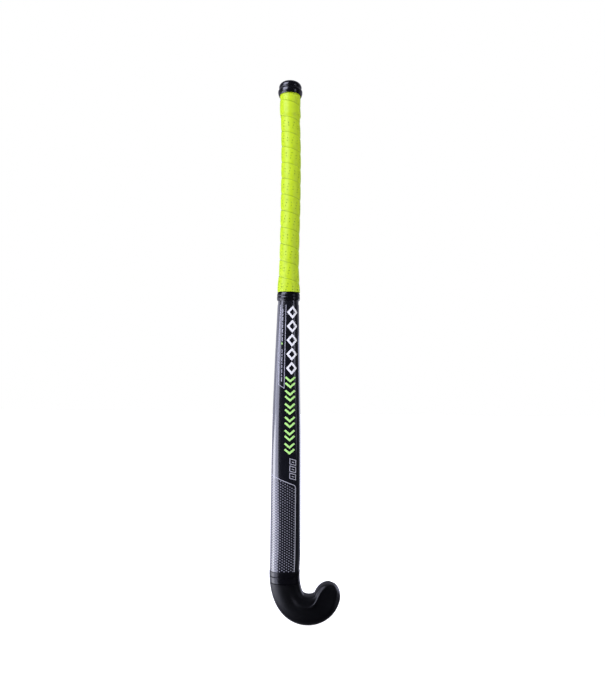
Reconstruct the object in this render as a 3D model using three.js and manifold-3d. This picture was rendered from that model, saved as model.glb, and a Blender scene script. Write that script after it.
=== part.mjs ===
// Field hockey stick for right-handed play, 36 inches long.
// A laminated wooden core, bent at the hook and spliced to a sprung handle, is covered by a
// glass-fibre sleeve, a film, a wound grip, a collar, two rings and a head overwrap.
// Millimetres. +Z runs up the shaft, the toe points towards +X, the flat playing face looks
// towards +Y and the rounded back looks towards -Y. The origin lies under the middle of the
// stick's own box, level with the lowest point of the hook.

import * as THREE from 'three';
import { mergeVertices } from 'three/addons/utils/BufferGeometryUtils.js';
import Module from 'manifold-3d';

const wasm = await Module();
wasm.setup();

// ---- Driving dimensions ----

const STICK_LENGTH = 914;
const GAP = 0.3;
const SLEEVE_WALL = 1.0;
const FILM_WALL = 0.25;
const OVERWRAP_WALL = 1.0;
const RING_WALL = 0.9;
const GRIP_WALL = 2.0;

const CAP_HEIGHT = 23;
const CAP_TOP_WALL = 7;
const CAP_SOCKET_DEPTH = 7;
const CAP_LIP_RADIUS = 20.5;
const CAP_DOME_RADIUS = 19.0;

const GRIP_PITCH = 27;
const GRIP_RIDGE = 0.3;
const GRIP_FIRST_TURN_EXTRA = 1.2;
const GRIP_BOTTOM = 559.5;
const COLLAR_HEIGHT = 14;
const FILM_TOP = 538.5;
const FILM_BOTTOM = 92;
const UPPER_RING_HEIGHT = 8.7;
const LOWER_RING_HEIGHT = 10.8;

const SPRING_COUNT = 3;
const SPRING_WIDTH = 1.6;
const HANDLE_PLY_WIDTH = 4.7;
const HEAD_PLY_COUNT = 6;
const SPLICE_TIP = 130;
const SPLICE_SLOPE = 0.089;
const HEAD_BLOCK_TOP = 340;

// Names the columns of a table of stations.
function tableOf(fields, rows) {
  return rows.map((row) => Object.fromEntries(fields.map((field, index) => [field, row[index]])));
}

// The sleeve's outside along the straight shaft, from the hook up to the butt. aside is how far
// its middle stands towards the toe, flat is half the width of the flat playing face, faceDepth
// and backDepth run from the widest line to the face and to the back, fullness is the power of
// the back's curve, 2 for an ellipse, and bow is how far the face stands back from a straight
// edge laid from hook to butt.
const SHAFT = tableOf(
  ['height', 'aside', 'halfWidth', 'flat', 'faceDepth', 'backDepth', 'fullness', 'bow'],
  [
    [86.8, -0.6, 24.6, 15, 9.5, 14.5, 2.3, 0],
    [124, 0.1, 25.1, 15, 9.3, 14, 2.3, 1.5],
    [208, 0, 24.4, 14, 9, 13.5, 2.3, 13],
    [325, -0.4, 23.1, 11, 9.5, 13.5, 2.3, 20],
    [426, -0.5, 20.5, 6, 10.8, 13.5, 2.2, 19.5],
    [530, -0.1, 17.4, 2, 12.7, 13.4, 2.1, 16],
    [565, 0, 16.2, 1, 13.2, 13.4, 2, 14.3],
    [600, 0.2, 14, 1, 13.4, 13.4, 2, 12.5],
    [712, 1.1, 14.1, 1, 13.3, 13.3, 2, 6.5],
    [797, 0.6, 14, 1, 13.3, 13.3, 2, 2.5],
    [880, -2.1, 13.6, 1, 13.3, 13.3, 2, 0],
    [STICK_LENGTH, -2.1, 13.6, 1, 13.3, 13.3, 2, 0],
  ],
);

// The sleeve's outside round the hook. turn is the direction of the middle line in degrees,
// 0 down the shaft and 90 straight towards the toe, and radius is that line's own radius.
const HOOK = tableOf(
  ['turn', 'radius', 'halfWidth', 'flat', 'faceDepth', 'backDepth', 'fullness'],
  [
    [0, 139, 24.6, 15, 9.5, 14.5, 2.3],
    [30, 43, 23.8, 15, 9.8, 15.5, 2.3],
    [90, 39, 24.2, 16, 10, 16, 2.5],
    [159, 24, 21.3, 14, 9.5, 13, 3],
  ],
);
const NOSE_LENGTH = 26;
const NOSE_POWER = 2.12;
const NOSE_DEPTH_POWER = 4;

// How finely the surfaces are divided.
const FACE_STEPS = 3;
const BACK_STEPS = 8;
const HOOK_STEP = 13;
const NOSE_STEPS = [0.45, 0.72, 0.9, 0.98];
const SHAFT_LEVELS = [
  880, 797, 712, 650, 600, 582, 565, 548, 530, 478, 426, 375, 325, 266, 208, 166, 124, 106,
];
const GRIP_ROWS_PER_TURN = 4;

// ---- The stick's form ----

// Reads a table of stations at any place, passing smoothly through every row.
function readStations(stations, key, place) {
  const last = stations.length - 1;
  let row = 0;
  while (row < last - 1 && place > stations[row + 1][key]) {
    row += 1;
  }
  const rows = [row - 1, row, row + 1, row + 2];
  const [before, from, to, after] = rows.map((index) => stations[THREE.MathUtils.clamp(index, 0, last)]);
  const span = to[key] - from[key];
  const t = (place - from[key]) / span;
  const result = {};
  for (const field of Object.keys(from)) {
    const slopeFrom = ((to[field] - before[field]) / (to[key] - before[key])) * span;
    const slopeTo = ((after[field] - from[field]) / (after[key] - from[key])) * span;
    const rise = to[field] - from[field];
    const bend = (1 - t) * (slopeFrom - rise) - t * (slopeTo - rise);
    result[field] = from[field] + rise * t + t * (1 - t) * bend;
  }
  return result;
}

function shaftFrame(height) {
  const station = readStations(SHAFT, 'height', height);
  return { ...station, x: station.aside, z: height, turn: 0, advance: 0 };
}

// Frames round the hook and out to the tip of the toe. advance runs from 0, where the toe
// starts to round off, to 1 at its tip.
function hookFrames() {
  const degree = Math.PI / 180;
  const frames = [];
  let x = SHAFT[0].aside;
  let z = SHAFT[0].height;
  const lastTurn = HOOK[HOOK.length - 1].turn;
  for (let turn = 0; turn < lastTurn; turn += 1) {
    if (turn % HOOK_STEP === 0) {
      frames.push({ ...readStations(HOOK, 'turn', turn), x, z, bow: 0, turn: turn * degree, advance: 0 });
    }
    const middle = (turn + 0.5) * degree;
    const { radius } = readStations(HOOK, 'turn', turn + 0.5);
    x += radius * Math.sin(middle) * degree;
    z -= radius * Math.cos(middle) * degree;
  }
  const end = { ...readStations(HOOK, 'turn', lastTurn), x, z, bow: 0, turn: lastTurn * degree };
  for (const advance of [0, ...NOSE_STEPS]) {
    frames.push({ ...end, advance });
  }
  return frames;
}

// Where the point lies that is across the middle line, towards the inside of the hook, along
// it, and at a depth y.
function placeInFrame(frame, across, along, y) {
  const sine = Math.sin(frame.turn);
  const cosine = Math.cos(frame.turn);
  return new THREE.Vector3(
    frame.x + across * cosine + along * sine,
    y,
    frame.z + across * sine - along * cosine,
  );
}

// One ring of the stick's section, grown outwards by grow, which may depend on the angle. The
// face is flat with rounded corners, and the back is one fuller curve.
function sectionRing(frame, grow) {
  const growAt = typeof grow === 'function' ? grow : () => grow;
  const narrowing = (1 - frame.advance ** NOSE_POWER) ** (1 / NOSE_POWER);
  const thinning = (1 - frame.advance ** NOSE_DEPTH_POWER) ** (1 / NOSE_DEPTH_POWER);
  const widestY = -frame.bow - frame.faceDepth;
  const point = (angle, across, depth) => {
    const along = (NOSE_LENGTH + growAt(angle)) * frame.advance;
    return placeInFrame(frame, across * narrowing, along, widestY + depth * thinning);
  };
  const ring = [];
  for (const side of [1, -1]) {
    for (let step = 0; step <= FACE_STEPS; step += 1) {
      const turned = side === 1 ? step : FACE_STEPS + step;
      const angle = (turned / FACE_STEPS) * (Math.PI / 2);
      const reach = frame.halfWidth + growAt(angle) - frame.flat;
      const across = side * frame.flat + reach * Math.cos(angle);
      ring.push(point(angle, across, (frame.faceDepth + growAt(angle)) * Math.sin(angle)));
    }
  }
  for (let step = 1; step < BACK_STEPS; step += 1) {
    const angle = Math.PI * (1 + step / BACK_STEPS);
    const cosine = Math.cos(angle);
    const across = Math.sign(cosine) * Math.abs(cosine) ** (2 / frame.fullness);
    const depth = -(Math.abs(Math.sin(angle)) ** (2 / frame.fullness));
    ring.push(point(
      angle,
      across * (frame.halfWidth + growAt(angle)),
      depth * (frame.backDepth + growAt(angle)),
    ));
  }
  return ring;
}

// ---- Solids ----

function middleOf(ring) {
  const middle = new THREE.Vector3();
  ring.forEach((point) => middle.add(point));
  return middle.divideScalar(ring.length);
}

// A closed solid through a row of rings, with a fan of triangles over each end.
function loft(rings, endPoint = middleOf(rings[rings.length - 1])) {
  const count = rings[0].length;
  const points = [...rings.flat(), middleOf(rings[0]), endPoint];
  const startIndex = points.length - 2;
  const endIndex = points.length - 1;
  const lastRing = (rings.length - 1) * count;
  const indices = [];
  for (let side = 0; side < count; side += 1) {
    const next = (side + 1) % count;
    for (let row = 0; row < lastRing; row += count) {
      indices.push(row + side, row + count + side, row + next);
      indices.push(row + next, row + count + side, row + count + next);
    }
    indices.push(startIndex, side, next);
    indices.push(endIndex, lastRing + next, lastRing + side);
  }
  const geometry = new THREE.BufferGeometry();
  geometry.setAttribute('position', new THREE.Float32BufferAttribute(points.flatMap((p) => p.toArray()), 3));
  geometry.setIndex(indices);
  return geometry;
}

function solidOf(geometry) {
  const bare = geometry.clone();
  bare.deleteAttribute('normal');
  bare.deleteAttribute('uv');
  const merged = mergeVertices(bare, 1e-4);
  return new wasm.Manifold(new wasm.Mesh({
    numProp: 3,
    vertProperties: new Float32Array(merged.attributes.position.array),
    triVerts: new Uint32Array(merged.index.array),
  }));
}

function geometryOf(solid) {
  const mesh = solid.getMesh();
  const geometry = new THREE.BufferGeometry();
  geometry.setAttribute('position', new THREE.BufferAttribute(new Float32Array(mesh.vertProperties), 3));
  geometry.setIndex(new THREE.BufferAttribute(new Uint32Array(mesh.triVerts), 1));
  geometry.computeVertexNormals();
  return geometry;
}

// Heights of the shaft's rings from top to bottom, with none crowding the two ends.
function levelsBetween(top, bottom) {
  const crowding = 5;
  const inside = SHAFT_LEVELS.filter((level) => level < top - crowding && level > bottom + crowding);
  return [top, ...inside, bottom];
}

// A length of the straight shaft, grown outwards by grow.
function shaftSolid(grow, top, bottom) {
  const rings = levelsBetween(top, bottom).map((height) => sectionRing(shaftFrame(height), grow));
  return solidOf(loft(rings));
}

// The frames of the whole stick below a height, down the shaft and round to the toe.
function framesToToe(top) {
  const shaft = levelsBetween(top, SHAFT[0].height).slice(0, -1).map(shaftFrame);
  return [...shaft, ...hookFrames()];
}

// The whole stick below a height, grown outwards by grow.
function stickSolid(grow, top) {
  const frames = framesToToe(top);
  const rings = frames.map((frame) => sectionRing(frame, grow));
  const end = frames[frames.length - 1];
  const tip = placeInFrame(end, 0, NOSE_LENGTH + grow, -end.bow - end.faceDepth);
  return solidOf(loft(rings, tip));
}

function boxSolid(low, high) {
  const size = high.map((value, axis) => value - low[axis]);
  const box = new THREE.BoxGeometry(...size);
  box.translate(...high.map((value, axis) => (value + low[axis]) / 2));
  return solidOf(box);
}

// Everything round the shaft's foot between two heights, clear of the toe.
function footSlab(bottom, top) {
  const clearOfToe = 38;
  return boxSolid([-60, -80, bottom], [clearOfToe, 40, top]);
}

// ---- Core ----

const CORE_GROW = -SLEEVE_WALL - GAP;
const CORE_TOP = STICK_LENGTH - CAP_TOP_WALL - GAP;
const core = stickSolid(CORE_GROW, CORE_TOP);

// A plank that follows the stick's middle line, between two lines that edges(frame) gives
// across it. It reaches past the core in depth, and past the tip of the toe.
function plank(frames, edges) {
  const deep = [-70, 30];
  const pastTip = 60;
  const corners = (frame, along) => {
    const [low, high] = edges(frame);
    return [[high, deep[0]], [high, deep[1]], [low, deep[1]], [low, deep[0]]]
      .map(([across, y]) => placeInFrame(frame, across, along, y));
  };
  const whole = frames.filter((frame) => frame.advance === 0);
  const rings = whole.map((frame) => corners(frame, 0));
  if (whole.length < frames.length) {
    rings.push(corners(frames[frames.length - 1], pastTip));
  }
  return solidOf(loft(rings));
}

// The V-shaped tongue of the splice, in outline from its tip upwards.
function tongue(clearance) {
  const tip = SPLICE_TIP + clearance / Math.sin(Math.atan(SPLICE_SLOPE));
  const full = 400;
  const halfWidth = (full - tip) * SPLICE_SLOPE;
  const wide = 60;
  const outline = new THREE.Shape([
    new THREE.Vector2(0, tip),
    new THREE.Vector2(halfWidth, full),
    new THREE.Vector2(wide, full),
    new THREE.Vector2(wide, STICK_LENGTH + 10),
    new THREE.Vector2(-wide, STICK_LENGTH + 10),
    new THREE.Vector2(-wide, full),
    new THREE.Vector2(-halfWidth, full),
  ]);
  const depth = 120;
  const geometry = new THREE.ExtrudeGeometry(outline, { depth, bevelEnabled: false });
  geometry.rotateX(Math.PI / 2);
  geometry.translate(0, depth / 2, 0);
  return solidOf(geometry);
}

const handleCore = core.intersect(tongue(GAP / 2));
const headCore = core
  .subtract(tongue(-GAP / 2))
  .subtract(boxSolid([-60, -80, HEAD_BLOCK_TOP], [60, 40, STICK_LENGTH + 10]));

// The handle's strips lie side by side: ply, spring, ply and so on. Outer plies run out to
// the core's edge.
function handleStrips() {
  const step = HANDLE_PLY_WIDTH + SPRING_WIDTH + 2 * GAP;
  const beyondEdge = 40;
  const bottom = SPLICE_TIP - 5;
  const frames = levelsBetween(STICK_LENGTH, bottom).map(shaftFrame);
  const strips = [];
  for (let index = 0; index <= SPRING_COUNT; index += 1) {
    const middle = (index - SPRING_COUNT / 2) * step;
    const low = index === 0 ? -beyondEdge : middle - HANDLE_PLY_WIDTH / 2;
    const high = index === SPRING_COUNT ? beyondEdge : middle + HANDLE_PLY_WIDTH / 2;
    strips.push({ name: `handle_ply_${index + 1}`, material: 'cane', solid: plank(frames, () => [low, high]) });
    if (index < SPRING_COUNT) {
      const springMiddle = middle + step / 2;
      const springEdges = [springMiddle - SPRING_WIDTH / 2, springMiddle + SPRING_WIDTH / 2];
      strips.push({ name: `rubber_spring_${index + 1}`, material: 'rubber', solid: plank(frames, () => springEdges) });
    }
  }
  return strips.map((strip) => ({ ...strip, solid: handleCore.intersect(strip.solid) }));
}

// The head's plies are strips bent round the hook, stacked from its outside to its inside.
function headPlies() {
  const frames = framesToToe(HEAD_BLOCK_TOP + 5);
  const beyondEdge = 8;
  const plies = [];
  for (let index = 0; index < HEAD_PLY_COUNT; index += 1) {
    const edges = (frame) => {
      const half = frame.halfWidth + CORE_GROW;
      const share = (2 * half) / HEAD_PLY_COUNT;
      const low = index === 0 ? -half - beyondEdge : -half + index * share + GAP / 2;
      const isLast = index === HEAD_PLY_COUNT - 1;
      const high = isLast ? half + 2 : -half + (index + 1) * share - GAP / 2;
      return [low, high];
    };
    plies.push({
      name: `head_ply_${index + 1}`,
      material: 'mulberry',
      solid: headCore.intersect(plank(frames, edges)),
    });
  }
  return plies;
}

// ---- Covers ----

function shaftSleeve() {
  const top = CORE_TOP;
  return stickSolid(0, top).subtract(stickSolid(-SLEEVE_WALL, top + 1));
}

function graphicFilm() {
  const inside = shaftSolid(GAP, FILM_TOP + 1, FILM_BOTTOM - 1);
  return shaftSolid(GAP + FILM_WALL, FILM_TOP, FILM_BOTTOM).subtract(inside);
}

const UPPER_RING_TOP = FILM_BOTTOM - GAP;
const LOWER_RING_TOP = UPPER_RING_TOP - UPPER_RING_HEIGHT - GAP;
const OVERWRAP_TOP = LOWER_RING_TOP - LOWER_RING_HEIGHT - GAP;
const ABOVE_RINGS = 110;

// A ring wound round the foot of the shaft, over the sleeve.
function footRing(top, height, wall) {
  const outside = stickSolid(GAP + wall, ABOVE_RINGS).intersect(footSlab(top - height, top));
  return outside.subtract(stickSolid(GAP, ABOVE_RINGS));
}

// The second glass-fibre layer over the hook, open where it meets the lower ring.
function headOverwrap() {
  const shell = stickSolid(GAP + OVERWRAP_WALL, ABOVE_RINGS).subtract(stickSolid(GAP, ABOVE_RINGS + 1));
  return shell.subtract(footSlab(OVERWRAP_TOP, ABOVE_RINGS + 10));
}

const GRIP_TOP = STICK_LENGTH - CAP_HEIGHT + CAP_SOCKET_DEPTH - GAP;

// The grip strip's surface: one ridge for each turn of its helix, and a doubled first turn.
function gripOutside(height) {
  return (angle) => {
    const turns = (GRIP_TOP - height) / GRIP_PITCH - angle / (2 * Math.PI);
    const ridge = GRIP_RIDGE * Math.cos(2 * Math.PI * turns);
    const doubled = THREE.MathUtils.smoothstep(1.4 - turns, 0, 0.25);
    return GAP + GRIP_WALL + ridge + GRIP_FIRST_TURN_EXTRA * doubled;
  };
}

function gripWrap() {
  const rows = Math.round(((GRIP_TOP - GRIP_BOTTOM) / GRIP_PITCH) * GRIP_ROWS_PER_TURN);
  const rings = [];
  for (let row = 0; row <= rows; row += 1) {
    const height = THREE.MathUtils.lerp(GRIP_TOP, GRIP_BOTTOM, row / rows);
    rings.push(sectionRing(shaftFrame(height), gripOutside(height)));
  }
  return solidOf(loft(rings)).subtract(shaftSolid(GAP, GRIP_TOP + 1, GRIP_BOTTOM - 1));
}

// Finishing tape rolled into two beads round the grip's lower end.
function gripCollar() {
  const top = GRIP_BOTTOM - GAP;
  const rowCount = 8;
  const rings = [];
  for (let row = 0; row <= rowCount; row += 1) {
    const share = row / rowCount;
    const bead = Math.sqrt(Math.abs(Math.sin(2 * Math.PI * share)));
    const grow = GAP + 1.0 + 0.7 * bead;
    rings.push(sectionRing(shaftFrame(top - COLLAR_HEIGHT * share), grow));
  }
  return solidOf(loft(rings)).subtract(shaftSolid(GAP, top + 1, top - COLLAR_HEIGHT - 1));
}

// The moulded cap, turned about the butt's own middle: a domed top over a rounded lip, with a
// wide socket for the doubled grip and a narrower one for the handle.
function endCapGeometry() {
  const lipMiddle = 7.2;
  const lipBulge = 2.1;
  const grooveHeight = 11.6;
  const topEdgeHeight = 7.5;
  const flatTopRadius = 11;
  const gripSocketRadius = 18.2;
  const handleSocketRadius = 14.1;
  const outline = [new THREE.Vector2(0, CAP_HEIGHT - CAP_TOP_WALL)];
  outline.push(new THREE.Vector2(handleSocketRadius, CAP_HEIGHT - CAP_TOP_WALL));
  outline.push(new THREE.Vector2(handleSocketRadius, CAP_SOCKET_DEPTH));
  outline.push(new THREE.Vector2(gripSocketRadius, CAP_SOCKET_DEPTH));
  outline.push(new THREE.Vector2(gripSocketRadius, 0));
  for (const offset of [-1, -0.75, -0.4, 0, 0.6, 1]) {
    const reach = offset < 0 ? lipMiddle : grooveHeight - lipMiddle - 0.4;
    outline.push(new THREE.Vector2(CAP_LIP_RADIUS - lipBulge * offset ** 2, lipMiddle + reach * offset));
  }
  outline.push(new THREE.Vector2(CAP_DOME_RADIUS - 0.6, grooveHeight));
  for (const degrees of [0, 30, 60, 90]) {
    const angle = THREE.MathUtils.degToRad(degrees);
    const edge = CAP_DOME_RADIUS - flatTopRadius;
    const radius = flatTopRadius + edge * Math.cos(angle);
    outline.push(new THREE.Vector2(radius, CAP_HEIGHT - topEdgeHeight * (1 - Math.sin(angle))));
  }
  outline.push(new THREE.Vector2(0, CAP_HEIGHT));
  const cap = new THREE.LatheGeometry(outline, 24);
  cap.rotateX(Math.PI / 2);
  return geometryOf(solidOf(cap));
}

// ---- Finishes ----

const FINISHES = {
  blackGloss: { color: 0x0d0d12, roughness: 0.2, metalness: 0 },
  grip: { color: 0xc5ef1e, roughness: 0.55, metalness: 0 },
  laminate: { color: 0x16181d, roughness: 0.25, metalness: 0 },
  film: { color: 0x1a1d22, roughness: 0.2, metalness: 0 },
  overwrap: { color: 0x1b1a20, roughness: 0.6, metalness: 0 },
  cane: { color: 0xc9a36a, roughness: 0.7, metalness: 0 },
  mulberry: { color: 0xb98a4a, roughness: 0.65, metalness: 0 },
  rubber: { color: 0x2a2a2a, roughness: 0.85, metalness: 0 },
};

const stick = new THREE.Group();

function addPiece(name, finish, geometry) {
  const mesh = new THREE.Mesh(geometry, new THREE.MeshStandardMaterial(FINISHES[finish]));
  mesh.name = name;
  stick.add(mesh);
  return mesh;
}

const butt = shaftFrame(STICK_LENGTH - CAP_HEIGHT);
const cap = addPiece('end_cap', 'blackGloss', endCapGeometry());
cap.position.set(butt.x, -butt.bow - butt.faceDepth, butt.z);

addPiece('grip_wrap', 'grip', geometryOf(gripWrap()));
addPiece('grip_collar', 'blackGloss', geometryOf(gripCollar()));
addPiece('shaft_film', 'film', geometryOf(graphicFilm()));
addPiece('shaft_sleeve', 'laminate', geometryOf(shaftSleeve()));
addPiece('upper_ring', 'blackGloss', geometryOf(footRing(UPPER_RING_TOP, UPPER_RING_HEIGHT, RING_WALL)));
addPiece('lower_ring', 'blackGloss', geometryOf(footRing(LOWER_RING_TOP, LOWER_RING_HEIGHT, RING_WALL)));
addPiece('head_overwrap', 'overwrap', geometryOf(headOverwrap()));
for (const strip of [...handleStrips(), ...headPlies()]) {
  addPiece(strip.name, strip.material, geometryOf(strip.solid));
}

// The origin moves to the middle of the stick's box, at the height of its lowest point.
const bounds = new THREE.Box3().setFromObject(stick);
const middle = bounds.getCenter(new THREE.Vector3());
stick.position.set(-middle.x, -middle.y, -bounds.min.z);

export default stick;
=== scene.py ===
import math

import bmesh
import bpy
import numpy as np
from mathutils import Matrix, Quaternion, Vector


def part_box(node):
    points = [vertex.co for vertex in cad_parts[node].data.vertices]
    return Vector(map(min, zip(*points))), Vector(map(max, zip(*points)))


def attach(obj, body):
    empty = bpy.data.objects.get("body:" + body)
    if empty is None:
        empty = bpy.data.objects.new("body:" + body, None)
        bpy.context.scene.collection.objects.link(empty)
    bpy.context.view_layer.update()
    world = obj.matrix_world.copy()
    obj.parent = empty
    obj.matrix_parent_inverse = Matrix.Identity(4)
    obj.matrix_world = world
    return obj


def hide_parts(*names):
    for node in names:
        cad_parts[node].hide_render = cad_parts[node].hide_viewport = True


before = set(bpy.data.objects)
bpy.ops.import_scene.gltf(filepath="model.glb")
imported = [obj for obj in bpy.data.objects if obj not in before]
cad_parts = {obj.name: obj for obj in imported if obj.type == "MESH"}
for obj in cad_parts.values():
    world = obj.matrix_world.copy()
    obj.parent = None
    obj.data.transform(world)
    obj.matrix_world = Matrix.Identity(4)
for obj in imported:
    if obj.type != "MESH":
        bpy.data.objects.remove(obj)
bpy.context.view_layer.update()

# ---- Driving dimensions, in millimetres, as in the CAD model ----

MM = 0.001
STICK_LENGTH = 914.0
GAP = 0.3
SLEEVE_WALL = 1.0
FILM_WALL = 0.25
OVERWRAP_WALL = 1.0
RING_WALL = 0.9
GRIP_WALL = 2.0

CAP_HEIGHT = 23.0
CAP_TOP_WALL = 7.0
CAP_SOCKET_DEPTH = 7.0
CAP_LIP_RADIUS = 20.5
CAP_DOME_RADIUS = 19.0

GRIP_BOTTOM = 559.5
COLLAR_HEIGHT = 14.0
FILM_TOP = 538.5
FILM_BOTTOM = 92.0
UPPER_RING_HEIGHT = 8.7
LOWER_RING_HEIGHT = 10.8

SHAFT_FIELDS = ("height", "aside", "halfWidth", "flat", "faceDepth", "backDepth", "fullness", "bow")
SHAFT_ROWS = (
    (86.8, -0.6, 24.6, 15, 9.5, 14.5, 2.3, 0),
    (124, 0.1, 25.1, 15, 9.3, 14, 2.3, 1.5),
    (208, 0, 24.4, 14, 9, 13.5, 2.3, 13),
    (325, -0.4, 23.1, 11, 9.5, 13.5, 2.3, 20),
    (426, -0.5, 20.5, 6, 10.8, 13.5, 2.2, 19.5),
    (530, -0.1, 17.4, 2, 12.7, 13.4, 2.1, 16),
    (565, 0, 16.2, 1, 13.2, 13.4, 2, 14.3),
    (600, 0.2, 14, 1, 13.4, 13.4, 2, 12.5),
    (712, 1.1, 14.1, 1, 13.3, 13.3, 2, 6.5),
    (797, 0.6, 14, 1, 13.3, 13.3, 2, 2.5),
    (880, -2.1, 13.6, 1, 13.3, 13.3, 2, 0),
    (STICK_LENGTH, -2.1, 13.6, 1, 13.3, 13.3, 2, 0),
)
HOOK_FIELDS = ("turn", "radius", "halfWidth", "flat", "faceDepth", "backDepth", "fullness")
HOOK_ROWS = (
    (0, 139, 24.6, 15, 9.5, 14.5, 2.3),
    (30, 43, 23.8, 15, 9.8, 15.5, 2.3),
    (90, 39, 24.2, 16, 10, 16, 2.5),
    (159, 24, 21.3, 14, 9.5, 13, 3),
)
NOSE_LENGTH = 26.0
NOSE_POWER = 2.12
NOSE_DEPTH_POWER = 4.0


def table_of(fields, rows):
    return {field: np.array([row[i] for row in rows], float) for i, field in enumerate(fields)}


SHAFT = table_of(SHAFT_FIELDS, SHAFT_ROWS)
HOOK = table_of(HOOK_FIELDS, HOOK_ROWS)

# ---- The stick's form ----


def read_table(table, key, places):
    """Every column of a table at places, passing smoothly through every row."""
    places = np.atleast_1d(np.asarray(places, float))
    keys = table[key]
    last = len(keys) - 1
    row = np.clip(np.searchsorted(keys, places, side="left") - 1, 0, last - 1)
    before = np.maximum(row - 1, 0)
    after = np.minimum(row + 2, last)
    span = keys[row + 1] - keys[row]
    t = (places - keys[row]) / span
    read = {}
    for field, column in table.items():
        slope_from = (column[row + 1] - column[before]) / (keys[row + 1] - keys[before]) * span
        slope_to = (column[after] - column[row]) / (keys[after] - keys[row]) * span
        rise = column[row + 1] - column[row]
        bend = (1 - t) * (slope_from - rise) - t * (slope_to - rise)
        read[field] = column[row] + rise * t + t * (1 - t) * bend
    return read


def shaft_frames(heights):
    frames = read_table(SHAFT, "height", heights)
    frames["x"] = frames["aside"]
    frames["z"] = np.atleast_1d(np.asarray(heights, float))
    frames["turn"] = np.zeros_like(frames["x"])
    frames["advance"] = np.zeros_like(frames["x"])
    return frames


def hook_frames(step, nose_rows):
    """Frames round the hook every step degrees, and on to nose_rows places in the toe's nose."""
    last_turn = int(HOOK["turn"][-1])
    middles = np.arange(last_turn) + 0.5
    radius = read_table(HOOK, "turn", middles)["radius"]
    degree = math.radians(1)
    x = SHAFT["aside"][0] + np.concatenate([[0], np.cumsum(radius * np.sin(np.radians(middles)) * degree)])
    z = SHAFT["height"][0] - np.concatenate([[0], np.cumsum(radius * np.cos(np.radians(middles)) * degree)])
    turns = np.append(np.arange(0, last_turn, step), last_turn)
    turns = np.append(turns, np.full(nose_rows, last_turn))
    frames = read_table(HOOK, "turn", turns)
    frames["x"] = x[turns]
    frames["z"] = z[turns]
    frames["turn"] = np.radians(turns.astype(float))
    frames["bow"] = np.zeros(len(turns))
    nose = np.sin(np.linspace(0, math.pi / 2, nose_rows + 2)[1:-1])
    frames["advance"] = np.concatenate([np.zeros(len(turns) - nose_rows), nose])
    return frames


def joined(first, second):
    return {field: np.concatenate([first[field], second[field]]) for field in first if field in second}


def section(corner_steps, flat_steps, back_steps):
    """Places round the section: the share of the flat, the cosine and sine, and the angle."""
    corner = np.linspace(0, math.pi / 2, corner_steps + 1)
    flat = np.linspace(1, -1, flat_steps + 1)[1:-1]
    back = math.pi + np.linspace(0, math.pi, back_steps + 1)[1:-1]
    angle = np.concatenate([corner, np.full(len(flat), math.pi / 2), corner + math.pi / 2, back])
    share = np.concatenate([np.ones(len(corner)), flat, -np.ones(len(corner)), np.zeros(len(back))])
    is_back = np.concatenate([np.zeros(len(corner) * 2 + len(flat)), np.ones(len(back))]) > 0
    cosine = np.cos(angle)
    cosine[np.abs(cosine) < 1e-9] = 0
    return {"angle": angle, "share": share, "cosine": cosine, "sine": np.sin(angle), "back": is_back}


FINE = section(10, 8, 44)
FINE_HEAD = section(12, 10, 96)

# The row's frame stands off the design's by the place of the cap, which both know.
cap_low, cap_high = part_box("end_cap")
cap_frame = shaft_frames([STICK_LENGTH])
SHIFT = np.array([
    (cap_low.x + cap_high.x) / 2 / MM - cap_frame["x"][0],
    (cap_low.y + cap_high.y) / 2 / MM + cap_frame["bow"][0] + cap_frame["faceDepth"][0],
    cap_high.z / MM - STICK_LENGTH,
])


def place(frames, across, along, depth):
    """Points in the row's frame, in metres, from places in the frames."""
    sine = np.sin(frames["turn"])[:, None]
    cosine = np.cos(frames["turn"])[:, None]
    x = frames["x"][:, None] + across * cosine + along * sine
    z = frames["z"][:, None] + across * sine - along * cosine
    return (np.stack([x, depth + 0 * x, z], axis=-1) + SHIFT) * MM


def rings(frames, form, grow, squared=0.0, relief=None):
    """The section's points at each frame, grown outwards by grow, which may vary over both.

    squared fills out the back's shoulder on the side inside the hook, and relief gives how
    far the back sinks at a distance across.
    """
    col = {field: frames[field][:, None] for field in frames}
    grow = np.zeros((len(frames["x"]), len(form["angle"]))) + grow
    narrowing = (1 - col["advance"] ** NOSE_POWER) ** (1 / NOSE_POWER)
    thinning = (1 - col["advance"] ** NOSE_DEPTH_POWER) ** (1 / NOSE_DEPTH_POWER)
    reach = col["halfWidth"] + grow - col["flat"]
    across_face = form["share"] * col["flat"] + reach * form["cosine"]
    depth_face = (col["faceDepth"] + grow) * form["sine"]
    inside = form["cosine"] > 0
    power = 2 / (col["fullness"] + squared * inside)
    across_back = np.sign(form["cosine"]) * np.abs(form["cosine"]) ** power * (col["halfWidth"] + grow)
    depth_back = -np.abs(form["sine"]) ** power * (col["backDepth"] + grow)
    if relief is not None:
        depth_back = depth_back + relief(across_back) * np.abs(form["sine"])
    across = np.where(form["back"], across_back, across_face) * narrowing
    depth = np.where(form["back"], depth_back, depth_face) * thinning
    along = (NOSE_LENGTH + grow) * col["advance"]
    return place(frames, across, along, -col["bow"] - col["faceDepth"] + depth)


def tip_point(frames, grow):
    last = {field: frames[field][-1:] for field in frames}
    return place(last, 0.0, NOSE_LENGTH + grow, (-last["bow"] - last["faceDepth"])[:, None])[0, 0]


# ---- Meshes ----


def new_object(name, vertices, faces, smooth=True):
    mesh = bpy.data.meshes.new(name)
    mesh.from_pydata([tuple(v) for v in vertices], [], faces)
    mesh.validate()
    bm = bmesh.new()
    bm.from_mesh(mesh)
    bmesh.ops.recalc_face_normals(bm, faces=bm.faces)
    bm.to_mesh(mesh)
    bm.free()
    if smooth:
        mesh.polygons.foreach_set("use_smooth", [True] * len(mesh.polygons))
    obj = bpy.data.objects.new(name, mesh)
    bpy.context.scene.collection.objects.link(obj)
    return obj


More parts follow.
